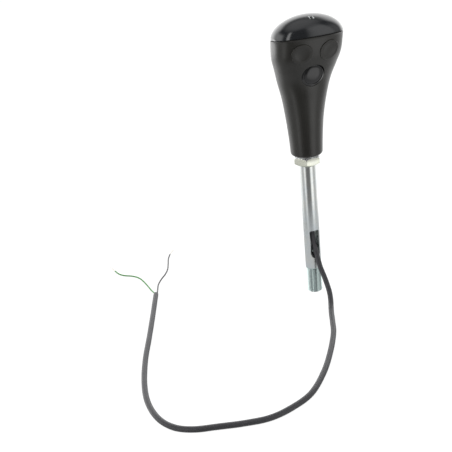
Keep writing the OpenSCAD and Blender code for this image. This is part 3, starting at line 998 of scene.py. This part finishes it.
def build_seal():
    s = sizes()
    half, inner = s.seal_height / 2, s.wall + LIP_GAP
    profile = [(0.7, -half), (0.55, 0), (0.7, half), (inner, half), (inner, -half)]
    obj = make_object("seam_seal", join_rings(
        [ring(SEAM, inset, rise, SHELL_SIDES) for inset, rise in profile], "open", "joined"))
    finish_piece(obj, soft_pvc("Seal rubber", (0.006, 0.006, 0.006), 0.6, 0.03),
                 stands_for=["cap_seal"])


def build_emblem():
    """Plain domed disc inside a ring that slopes gently outwards."""
    seat_r = sizes().emblem_diameter / 2
    inner, play = seat_r - 2.1, 0.02
    bezel = rounded([(inner, -SEAT_DEEP, 0), (seat_r - play, -SEAT_DEEP, 0),
                     (seat_r - play, -1.5, 0.1), (inner + 0.35, -0.45, 0.2),
                     (inner, -0.65, 0)], 5)
    vertices, faces = turned([tuple(p) for p in bezel], 160, True)
    for v in vertices:
        # The ring's outer edge rises to the grip's surface at the bottom
        share = max(0.0, (v.xy.length - inner - 0.4) / (seat_r - inner - 0.4))
        if v.z > -1.6:
            v.z += share * max(0.0, -v.y / v.xy.length) ** 5
    obj = make_object("emblem_bezel", placed((vertices, faces), EMBLEM_PLACE))
    finish_piece(obj, moulded_plastic("Dark emblem ring", (0.008, 0.008, 0.0085), 0.2, 0.003),
                 stands_for=["emblem_ring"], sharp=60)
    # A shallow dome that falls away faster near its rim
    steps, lens_r = 18, inner - play
    profile = [(0, -SEAT_DEEP), (lens_r, -SEAT_DEEP)]
    for i in range(steps + 1):
        x = lens_r * (1 - i / steps)
        profile.append((x, 0.15 - 0.3 * (x / lens_r) ** 2 - 0.75 * (x / lens_r) ** 5))
    obj = make_object("emblem_lens", placed(turned(profile, 128), EMBLEM_PLACE))
    finish_piece(obj, moulded_plastic("Emblem gloss", (0.004, 0.004, 0.0045), 0.12, 0.002),
                 stands_for=["emblem_disc"], sharp=50)


def build_button(side):
    place = BUTTON_PLACES[side]
    r = sizes().button_diameter / 2
    proud, dish, dish_r, rim_x = 0.2, 0.45, 42.0, 7.4
    skirt_in, under, stem_r, foot = r - 1.8, -2.4, 2.4, 0.3
    flange_in, flange_out = r - 0.6, r + 0.7
    face = [(x, proud - dish + dish_r - math.sqrt(dish_r ** 2 - x ** 2))
            for x in (0, 1.2, 2.4, 3.6, 4.8, 6.0, rim_x - 0.5)]
    edge = rounded([(r, proud - 1.6, 0), (r, proud, 0.4), (rim_x, proud - 0.22, 0)], 6)[1:-1]
    profile = face + [tuple(p) for p in reversed(edge)]
    profile += [(r, -SKIRT_END), (skirt_in, -SKIRT_END), (skirt_in, under), (stem_r, under),
                (stem_r, -SHAFT_END + foot), (stem_r - foot, -SHAFT_END), (0, -SHAFT_END)]
    obj = make_object(f"push_button_{side}", placed(turned(profile, 144), place))
    # A quarter of a flange under the guide keeps the button from coming out
    flange = turned([(flange_in, -FLANGE_AT), (flange_out, -FLANGE_AT),
                     (flange_out, -SKIRT_END), (flange_in, -SKIRT_END)], 144, True)
    collar = make_object("collar_tool", placed(flange, place))
    carve(collar, [placed(block((-r, -r - 2, -SKIRT_END - 1), (r + 2, r + 2, -FLANGE_AT + 1)),
                          place)], "INTERSECT")
    carve(obj, [taken(collar)], "UNION")
    finish_piece(obj, button_plastic(), f"button_{side}",
                 [f"button_{side}"])


def build_spring(side):
    """Coil under a button, built at rest; the real spring shortens as the button goes down.
    """
    place = BUTTON_PLACES[side]
    turns, coil_r, wire_r, steps = 4.5, 6.0, 0.45, 150
    top, bottom = 2.5, PLATE_AT - 0.1
    # The coil rises little over its closed first and last turns
    ease = 0.12

    def rise(t):
        return 0.5 - 0.5 * math.cos(math.pi * (ease + (1 - 2 * ease) * t))

    route = []
    for i in range(steps + 1):
        t = i / steps
        share = (rise(t) - rise(0)) / (1 - 2 * rise(0))
        depth = top + wire_r + (bottom - top - 2 * wire_r) * share
        route.append(polar(coil_r, 2 * math.pi * turns * t, -depth))
    coil = make_object(f"coil_spring_{side}",
                       placed(join_rings(sweep(route, wire_r, 10)), place))
    finish_piece(coil, spring_wire(), stands_for=[f"return_spring_{side}"],
                 sharp=60)
    outwards = place.to_3x3() @ Vector((0, 0, 1))
    tuple(place @ Vector((0, 0, -bottom)) * MM)
    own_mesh(coil)


def cut_end(rings, route, narrow, deep):
    """Rings of the hollow mouth at a cord's cut end."""
    end, back = route[-1], (route[-1] - route[-2]).normalized()
    mouth = [end + (p - end) * narrow for p in rings[-1]]
    return [mouth, [p - back * deep for p in mouth]]


def route_length(route):
    return sum((b - a).length for a, b in zip(route, route[1:]))


def build_sheath():
    diameter = sizes().cable_diameter
    route = smooth_route(CABLE_ROUTE, 8)
    # A soft sheath is never quite even
    radii = [diameter / 2 * (1 + 0.012 * math.sin(0.9 * i) * math.sin(0.23 * i + 1))
             for i in range(len(route))]
    radii[-1] = diameter / 2 * 0.95
    rings = sweep(route, radii, 24)
    obj = make_object("cable_cord", join_rings(rings + cut_end(rings, route, 0.74, 0.8)))
    finish_piece(obj, sheath_pvc(), stands_for=["cable_sheath"], sharp=50)
    tuple(route[0] * MM)
    route_length(route) * MM
    [tuple(p * MM) for p in route]


def build_wire(name):
    s = sizes()
    route = smooth_route(WIRE_ROUTES[name], 8)
    rings = sweep(route, s.wire_diameter / 2, 16)
    wire = make_object(f"wire_core_{name}",
                       join_rings(rings + cut_end(rings, route, 0.72, 0.4)))
    finish_piece(wire, insulation(name), stands_for=[f"wire_{name}"], sharp=50)

    # Six strands twisted round a straight one
    bare_route = smooth_route(BARE_ROUTES[name], 10)
    core = [bare_route[0] - (bare_route[1] - bare_route[0]).normalized() * 0.35] + bare_route
    strand_r, orbit, turns = s.bare_diameter / 2 * 0.36, s.bare_diameter / 2 * 0.64, 2.2
    frames = sweep(core, 1.0, 4)
    last = len(core) - 1
    strands = []
    for number in range(7):
        line = []
        for i, point in enumerate(core):
            t = i / last
            angle = 2 * math.pi * (number / 6 + turns * t)
            u, v = frames[i][0] - point, frames[i][1] - point
            reach = 0.0 if number == 6 else orbit * (1 - 0.25 * t)
            line.append(point + (u * math.cos(angle) + v * math.sin(angle)) * reach)
        strands.append(join_rings(sweep(line, [strand_r] * last + [strand_r * 0.6], 8)))
    conductor = make_object(f"conductor_{name}", stack(strands))
    finish_piece(conductor, tinned_copper(), stands_for=[f"strands_{name}"],
                 sharp=60)
    tuple(route[0] * MM)
    route_length(route) * MM
    [tuple(p * MM) for p in route]


def dress_kept_nodes():
    """Materials for the nodes whose own shape stays."""
    finishes = {
        "knob_insert": plated_steel("Turned insert steel", (0.50, 0.50, 0.49), 0.28),
        "switch_carrier": natural_nylon("Carrier nylon"),
        "carrier_screws": plated_steel("Screw zinc", (0.62, 0.62, 0.58), 0.26, 0.4, 0.4),
        "switch_housing": moulded_plastic("Switch housing plastic", (0.03, 0.03, 0.03), 0.5,
                                          0.01),
        "switch_cover": moulded_plastic("Switch cover plastic", (0.30, 0.03, 0.025), 0.42,
                                        0.008),
        "switch_plunger": natural_nylon("Plunger nylon", (0.80, 0.79, 0.74), 0.35),
        "contact_blade": sheet_metal("Copper strip", (0.72, 0.40, 0.24), 0.28),
        "switch_terminals": sheet_metal("Terminal brass", (0.72, 0.55, 0.26), 0.30),
        "cable_tie": natural_nylon("Tie nylon", (0.70, 0.69, 0.62), 0.45),
        "cable_riser": sheath_pvc(),
    }
    for colour in WIRE_ROUTES:
        for lead in ("inner_lead", "link_lead"):
            finishes[f"{lead}_{colour}"] = insulation(colour)
    for name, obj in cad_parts.items():
        if obj.hide_render:
            continue
        kind = name.removesuffix("_right").removesuffix("_left")
        if kind not in finishes:
            raise RuntimeError(f"{name} has no finish")
        obj.data.materials.clear()
        obj.data.materials.append(finishes[kind])
        for slot in obj.material_slots:
            slot.material = finishes[kind]


# ---------- stage ----------


# Soft boxes and dark patches of the studio as polished surfaces mirror them, in degrees
# round from the back (+Y) towards the right (+X):
# turn, half width, blur, lowest elevation, highest elevation, blur, level
SOFT_BOXES = [
    (17, 60, 14, -8, 50, 10, 2.4),
    (-74, 22, 14, -4, 36, 10, 1.9),
    (-129, 5, 4, -2, 52, 8, 3.2),
    (143, 18, 14, -2, 58, 12, 1.1),
    (-44, 14, 8, -17, -5, 3, 2.6),
    (-5, 30, 10, -17, -5, 3, 0.9),
    (107, 14, 10, -2, 40, 14, 0.5),
    (17, 70, 14, -90, -12, 8, 0.6),
    (-111, 7, 5, -46, -16, 6, 0.9),
    (152, 16, 7, -46, -16, 6, 0.9),
    (-157, 27, 8, -36, -6, 5, -0.47),
    (-134, 24, 12, -62, -38, 6, -0.5),
]
UPPER_LEVEL, LOWER_LEVEL, ZENITH_LEVEL = 0.12, 0.68, 0.75


def mirrored_level(r, heading):
    """Level of the surroundings as a mirror shows them in a direction."""
    axis = r.node("ShaderNodeSeparateXYZ", None, {0: heading})
    x, y, z = axis, axis.other(1), axis.other(2)
    flat = ((x * x + y * y) ** 0.5).at_least(0.001)

    def height(degrees):
        return math.sin(math.radians(max(-90, min(90, degrees))))

    level = r.span(z, height(-4), height(-14)) * (LOWER_LEVEL - UPPER_LEVEL) + UPPER_LEVEL
    level = level + r.span(z, height(50), height(80)) * ZENITH_LEVEL
    for turn, half, blur, low, high, edge, strength in SOFT_BOXES:
        a = math.radians(turn)
        towards = (x * math.sin(a) + y * math.cos(a)) / flat
        box = r.span(towards, math.cos(math.radians(half + blur)),
                     math.cos(math.radians(max(0.0, half - blur))))
        box = box * r.span(z, height(high + edge), height(high - edge))
        if low > -90:
            box = box * r.span(z, height(low - edge), height(low + edge))
        level = level + box * strength
    return level


def build_floor(stage):
    """Pale floor that shows white, but keeps the soft shadow of the part.

    Polished surfaces see it as a table of limited size, with the studio beyond.
    """
    reach = 3000
    floor = make_object("studio_floor", ([Vector((x, y, -0.05)) for x, y in (
        (-reach, -reach), (reach, -reach), (reach, reach), (-reach, reach))], [(0, 1, 2, 3)]))
    material = bpy.data.materials.new("Pale floor")
    material.use_nodes = True
    r = Recipe(material.node_tree)
    seen = r.node("ShaderNodeLightPath", output="Is Camera Ray")
    mirrored = r.node("ShaderNodeLightPath", output="Is Glossy Ray")
    distance = r.node("ShaderNodeVectorMath", {"operation": "LENGTH"},
                      {0: r.node("ShaderNodeTexCoord", output="Object")}, output="Value")
    beyond = r.span(distance, stage.table - 0.06, stage.table + 0.05)
    matte = r.node("ShaderNodeBsdfDiffuse", None, {"Color": (0.8, 0.8, 0.8)})
    faint = r.node("ShaderNodeBsdfDiffuse", None, {"Color": (0.22, 0.22, 0.22)})
    glow = r.node("ShaderNodeEmission", None, {"Color": (1, 1, 1), "Strength": 0.9})
    table = r.node("ShaderNodeEmission", None,
                   {"Color": (0.97, 0.98, 1.0), "Strength": stage.table_level})
    clear = r.node("ShaderNodeBsdfTransparent", None, {"Color": (1, 1, 1)})
    shown = r.node("ShaderNodeAddShader", None, {0: faint, 1: glow})
    lit = r.mix(mirrored, matte, r.mix(beyond, table, clear))
    r.node("ShaderNodeOutputMaterial", None, {"Surface": r.mix(seen, lit, shown)})
    floor.data.materials.append(material)


def build_surround(stage):
    """Plain white surround to the eye; soft boxes in reflections; soft as light."""
    world = bpy.data.worlds.new("Plain surround")
    bpy.context.scene.world = world
    world.use_nodes = True
    r = Recipe(world.node_tree)
    seen = r.node("ShaderNodeLightPath", output="Is Camera Ray")
    mirrored = r.node("ShaderNodeLightPath", output="Is Glossy Ray")
    heading = r.node("ShaderNodeTexCoord", output="Generated")
    level = seen + (1.0 - seen) * (mirrored * mirrored_level(r, heading)
                                   + (1.0 - mirrored) * stage.sky)
    shader = r.node("ShaderNodeBackground", None, {"Color": (1, 1, 1), "Strength": level})
    r.node("ShaderNodeOutputWorld", None, {"Surface": shader})


def add_lamp(name, at, target, size, power):
    data = bpy.data.lights.new(name, "AREA")
    data.shape = "RECTANGLE"
    data.size, data.size_y = size
    data.energy = power
    lamp = bpy.data.objects.new(name, data)
    lamp.location = at
    lamp.rotation_mode = "QUATERNION"
    lamp.rotation_quaternion = (Vector(target) - Vector(at)).to_track_quat("-Z", "Y")
    lamp.visible_glossy = False
    bpy.context.scene.collection.objects.link(lamp)


def build_camera(stage):
    data = bpy.data.cameras.new("View")
    data.sensor_width = 36.0
    data.lens = stage.camera_lens
    data.clip_start, data.clip_end = 0.01, 50.0
    camera = bpy.data.objects.new("View", data)
    turn = Matrix.Rotation(stage.camera_turn, 4, "Z")
    look = Matrix.Rotation(math.pi / 2 - stage.camera_pitch, 4, "X")
    roll = Matrix.Rotation(stage.camera_roll, 4, "Z")
    camera.matrix_world = Matrix.Translation(stage.camera_at) @ turn @ look @ roll
    bpy.context.scene.collection.objects.link(camera)
    bpy.context.scene.camera = camera


# ---------- operators ----------


class KNOB_OT_stem(bpy.types.Operator):
    """Builds the drilled stem with its threads and cable slot"""
    bl_idname = "knob.stem"
    bl_label = "Lever stem"

    def execute(self, context):
        build_stem()
        return {"FINISHED"}


class KNOB_OT_nut(bpy.types.Operator):
    """Builds the hexagon lock nut"""
    bl_idname = "knob.nut"
    bl_label = "Lock nut"

    def execute(self, context):
        build_nut()
        return {"FINISHED"}


class KNOB_OT_grip(bpy.types.Operator):
    """Builds the moulded body of the knob"""
    bl_idname = "knob.grip"
    bl_label = "Grip body"

    def execute(self, context):
        build_grip()
        return {"FINISHED"}


class KNOB_OT_cap(bpy.types.Operator):
    """Builds the polished cap, its marks and the seal under it"""
    bl_idname = "knob.cap"
    bl_label = "Cap and seal"

    def execute(self, context):
        build_cap()
        build_seal()
        return {"FINISHED"}


class KNOB_OT_emblem(bpy.types.Operator):
    """Builds the plain round emblem"""
    bl_idname = "knob.emblem"
    bl_label = "Emblem"

    def execute(self, context):
        build_emblem()
        return {"FINISHED"}


class KNOB_OT_buttons(bpy.types.Operator):
    """Builds the two push buttons and their springs"""
    bl_idname = "knob.buttons"
    bl_label = "Push buttons"

    def execute(self, context):
        for side in SIDES:
            build_button(side)
            build_spring(side)
        return {"FINISHED"}


class KNOB_OT_cable(bpy.types.Operator):
    """Builds the free cable with its two stripped wires"""
    bl_idname = "knob.cable"
    bl_label = "Cable and wires"

    def execute(self, context):
        build_sheath()
        for colour_name in WIRE_ROUTES:
            build_wire(colour_name)
        return {"FINISHED"}


class KNOB_OT_kept(bpy.types.Operator):
    """Gives the inner pieces their materials"""
    bl_idname = "knob.kept"
    bl_label = "Inner pieces"

    def execute(self, context):
        dress_kept_nodes()
        return {"FINISHED"}


class KNOB_OT_stage(bpy.types.Operator):
    """Sets the floor, the surround, the lamps and the camera"""
    bl_idname = "knob.stage"
    bl_label = "Stage"

    def execute(self, context):
        stage = context.scene.knob_stage
        context.scene.view_settings.view_transform = "Standard"
        build_camera(stage)
        build_floor(stage)
        build_surround(stage)
        add_lamp("Key", (-0.7, -0.5, 0.9), (0, 0, 0.15), (0.7, 0.7), stage.key_power)
        add_lamp("Right", (0.9, -0.3, 0.5), (0, 0, 0.15), (0.5, 0.9), stage.fill_power)
        add_lamp("Back", (0.2, 0.9, 0.9), (0, 0, 0.15), (0.9, 0.5), stage.fill_power)
        return {"FINISHED"}


OPERATORS = [
    KNOB_OT_stage, KNOB_OT_cable, KNOB_OT_stem, KNOB_OT_nut, KNOB_OT_grip, KNOB_OT_cap,
    KNOB_OT_emblem, KNOB_OT_buttons, KNOB_OT_kept,
]
GROUPS = {"knob_sizes": KnobSizes, "knob_colours": KnobColours, "knob_stage": KnobStage}


class KNOB_PT_panel(bpy.types.Panel):
    """Lists the sizes, the colours and the pieces of the lever knob"""
    bl_idname = "KNOB_PT_panel"
    bl_label = "Lever Knob"
    bl_space_type = "VIEW_3D"
    bl_region_type = "UI"
    bl_category = "Lever Knob"

    def draw(self, context):
        for group in GROUPS:
            box = self.layout.box()
            settings = getattr(context.scene, group)
            for key in GROUPS[group].__annotations__:
                box.prop(settings, key)
        for operator in OPERATORS:
            self.layout.operator(operator.bl_idname)


def register():
    for group in [*GROUPS.values(), *OPERATORS, KNOB_PT_panel]:
        bpy.utils.register_class(group)
    for name, group in GROUPS.items():
        setattr(bpy.types.Scene, name, bpy.props.PointerProperty(type=group))


def unregister():
    for name in GROUPS:
        delattr(bpy.types.Scene, name)
    for group in reversed([*GROUPS.values(), *OPERATORS, KNOB_PT_panel]):
        bpy.utils.unregister_class(group)


def main():
    register()
    for operator in OPERATORS:
        family, name = operator.bl_idname.split(".")
        getattr(getattr(bpy.ops, family), name)()


if __name__ == "__main__":
    main()
